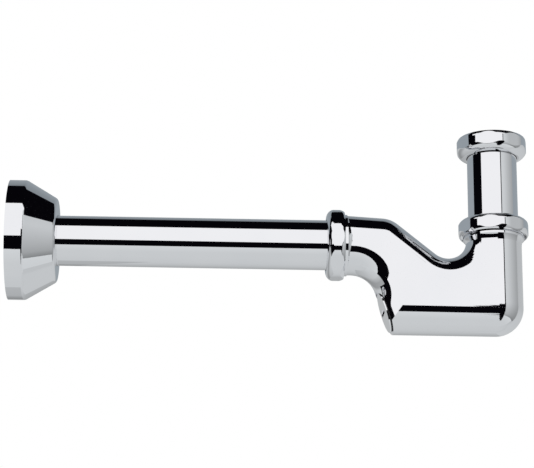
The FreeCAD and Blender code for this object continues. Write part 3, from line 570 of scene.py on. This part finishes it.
FLAG_LEFT, FLAG_FOOT_LEFT = -106, -78
FLAG_KNEE, FLAG_TOP = -6, 60
FLAG_TURN = even(FLAG_LEFT, SOFTBOX_LEFT)
FLAG_FOOT_TURN = even(FLAG_FOOT_LEFT, SOFTBOX_LEFT)
card("left_flag", BLACK, upright, FLAG_TURN, even(FLAG_KNEE, FLAG_TOP), WALL_LAYER)
card("left_flag_foot", BLACK, upright, FLAG_FOOT_TURN, even(GAP_FOOT, FLAG_KNEE), WALL_LAYER)

STRIP_RIGHT, STRIP_TOP = 38, 32
STRIP_TURN = even(SOFTBOX_RIGHT, STRIP_RIGHT)
card("right_edge", BLACK, upright, STRIP_TURN, even(GAP_FOOT, STRIP_TOP), SOFTBOX_LAYER)

# %% [markdown]
# The softbox is the great white area in front, and the flat faces of the trap show little else. A
# corner piece carries it on over the top of the black strip.

# %% Hang the softbox
SOFTBOX_TURN = even(SOFTBOX_LEFT, SOFTBOX_RIGHT)
SOFTBOX_RISE = even(SOFTBOX_FOOT, SOFTBOX_TOP)
card("front_softbox", WHITE, upright, SOFTBOX_TURN, SOFTBOX_RISE, SOFTBOX_LAYER)

CORNER_TURN = even(SOFTBOX_RIGHT, 54)
CORNER_RISE = even(40, 56)
card("softbox_corner", WHITE, upright, CORNER_TURN, CORNER_RISE, SOFTBOX_LAYER)

# %% [markdown]
# At its right end the gap grows in steps, upwards over the softbox and downwards over the ground.
# The round corner of the foot shows this end as the place where the dark line above the sole
# thickens and turns down.

# %% Hang the gap's stepped end
# For each: where it starts, and its lowest and highest rise. All end with the black strip.
GAP_STEPS = [
    (10.4, -8.0, -3.7),
    (11.0, -3.7, 0.0),
    (11.75, 0.0, 3.5),
    (12.05, 3.5, 5.5),
    (14.2, -40.0, -33.0),
    (17.0, -47.0, -40.0),
    (21.0, -54.0, -47.0),
    (26.0, -60.0, -54.0),
]
for number, (start, low, high) in enumerate(GAP_STEPS):
    name = f"gap_end_{number}"
    card(name, BLACK, upright, even(start, STRIP_RIGHT), even(low, high), STEP_LAYER)

# %% [markdown]
# A black flag over the trap draws the dark line along the top of each level piece. At the left a
# white shoulder of the softbox reaches further over the top, and there the flag starts later, in
# steps. The hollow's side that rises to the inlet leg faces that way, so its dark line follows
# the steps. At the far right the flag starts sooner, and the sloping throat, which faces right,
# shows that in its own line.

# %% Hang the shoulder and the flags over the trap
OVERHEAD_END = 111
SHOULDER_LEFT, SHOULDER_RIGHT = -50, -14
SHOULDER_SWEEP = even(50, 90)
SHOULDER_LEAN = even(SHOULDER_LEFT, SHOULDER_RIGHT)
card("softbox_shoulder", WHITE, overhead, SHOULDER_SWEEP, SHOULDER_LEAN, STEP_LAYER)

# For each: where it starts, and its lowest and highest lean.
SHOULDER_STEPS = [
    (84, SHOULDER_LEFT, -37),
    (79, -37, -30),
    (72, -30, -24),
    (66, -24, -18),
    (61, -18, SHOULDER_RIGHT),
]
for number, (start, low, high) in enumerate(SHOULDER_STEPS):
    name = f"shoulder_flag_{number}"
    card(name, BLACK, overhead, even(start, OVERHEAD_END), even(low, high), FLAG_LAYER)

FLAG_START, FLAG_CORNER_START = 58, 47
FLAG_LEAN, FLAG_CORNER_LEAN = even(SHOULDER_RIGHT, 40), even(40, 58)
FLAG_SWEEP = even(FLAG_START, OVERHEAD_END)
FLAG_CORNER_SWEEP = even(FLAG_CORNER_START, OVERHEAD_END)
card("overhead_flag", BLACK, overhead, FLAG_SWEEP, FLAG_LEAN, FLAG_LAYER)
card("overhead_corner", BLACK, overhead, FLAG_CORNER_SWEEP, FLAG_CORNER_LEAN, FLAG_LAYER)

# %% [markdown]
# The world is white to the camera, to mirrors and to glass, and dimmer as a light on dull
# surfaces, so the picture's ground is white without washing out the rubber and plastic. The light
# path tells which ray is asking: its three answers are added, and they choose between the two
# strengths.

# %% World
WORLD_WHITE = 1.0
WORLD_FILL = 0.55


def make_world():
    """White where it is seen or mirrored, dimmer where it lights."""
    world = bpy.data.worlds.new("studio_world")
    bpy.context.scene.world = world
    world.use_nodes = True
    network = Network(world.node_tree)
    network.tree.nodes.clear()
    path = network.add("ShaderNodeLightPath")
    seen = network.add("ShaderNodeMath", operation="ADD")
    shown = network.add("ShaderNodeMath", operation="ADD", use_clamp=True)
    level = network.add("ShaderNodeMapRange")
    level.inputs["To Min"].default_value = WORLD_FILL
    level.inputs["To Max"].default_value = WORLD_WHITE
    ground = network.add("ShaderNodeBackground", Color=(1, 1, 1, 1))
    output = network.add("ShaderNodeOutputWorld")
    network.join(path, "Is Camera Ray", seen, 0)
    network.join(path, "Is Glossy Ray", seen, 1)
    network.join(seen, 0, shown, 0)
    network.join(path, "Is Transmission Ray", shown, 1)
    network.join(shown, 0, level, "Value")
    network.join(level, "Result", ground, "Strength")
    network.join(ground, "Background", output, "Surface")


make_world()
print("the world shows", WORLD_WHITE, "and lights with", WORLD_FILL)

# %% [markdown]
# The floor is a pale matt sheet far below, which takes the trap's soft shadow. Mirrors don't show
# it, because the cards already stand for the ground there.

# %% Floor
FLOOR_DROP = 0.60
FLOOR_HALF = 2.5
FLOOR_COLOUR = colour_of(236, 237, 239)
FLOOR_ROUGHNESS = 0.9
SQUARE = [(-1, -1), (1, -1), (1, 1), (-1, 1)]

pale_floor = Finish("pale_floor")
pale_floor.shader.inputs["Base Color"].default_value = FLOOR_COLOUR
pale_floor.shader.inputs["Roughness"].default_value = FLOOR_ROUGHNESS
floor_centre = Vector((STUDIO_CENTRE.x, 0, -FLOOR_DROP))
floor_points = [floor_centre + Vector((x, y, 0)) * FLOOR_HALF for x, y in SQUARE]
floor = mesh_object("floor", floor_points, [(0, 1, 2, 3)], pale_floor.material)
floor.visible_glossy = False
print("the floor lies", FLOOR_DROP, "m below the inlet")

# %% [markdown]
# One wide lamp above the front and a smaller one from behind model the dull surfaces and throw
# the shadow on the floor. They are hidden from mirrors, because the cards already stand for them
# there.

# %% Lamps
# For each: its place, its width in metres and its power in watts.
LAMPS = {
    "key_lamp": ((-0.6, -1.4, 1.5), 1.2, 26.0),
    "rim_lamp": ((0.5, 1.3, 1.1), 0.8, 9.0),
}
for name, (place, width, power) in LAMPS.items():
    lamp_data = bpy.data.lights.new(name, "AREA")
    lamp_data.size = width
    lamp_data.energy = power
    lamp = bpy.data.objects.new(name, lamp_data)
    lamp.location = place
    lamp.rotation_euler = (STUDIO_CENTRE - lamp.location).to_track_quat("-Z", "Y").to_euler()
    lamp.visible_glossy = False
    bpy.context.collection.objects.link(lamp)
    print(name, "gives", power, "W")

# %% [markdown]
# The camera stands below the trap and looks up at it through a long lens, a little from the left,
# as the picture's lines show: the tube's underside is hidden, and the nut's mouth can't be seen.
# Its place is given by the same two angles as a card's.

# %% Camera
CAMERA_TARGET = Vector((-145.825, 0.0, 6.884 + OUTLET_HEIGHT)) * MM
CAMERA_TURN = -1.764
CAMERA_RISE = -16.794
CAMERA_ROLL = 0.485
CAMERA_DISTANCE = 1282.16 * MM
PHOTO_WIDTH = 534
FOCAL_PIXELS = 2000.0
SENSOR_WIDTH = 36.0

camera_data = bpy.data.cameras.new("camera")
camera_data.sensor_width = SENSOR_WIDTH
camera_data.lens = FOCAL_PIXELS / PHOTO_WIDTH * SENSOR_WIDTH
camera = bpy.data.objects.new("camera", camera_data)
bpy.context.collection.objects.link(camera)
outward = upright(CAMERA_TURN, CAMERA_RISE)
camera.location = CAMERA_TARGET + outward * CAMERA_DISTANCE
aim = (-outward).to_track_quat("-Z", "Y")
camera.rotation_mode = "QUATERNION"
camera.rotation_quaternion = aim @ Quaternion((0, 0, 1), math.radians(CAMERA_ROLL))
bpy.context.scene.camera = camera
bpy.context.scene.view_settings.view_transform = "Standard"
print("camera at", [round(value, 4) for value in camera.location])
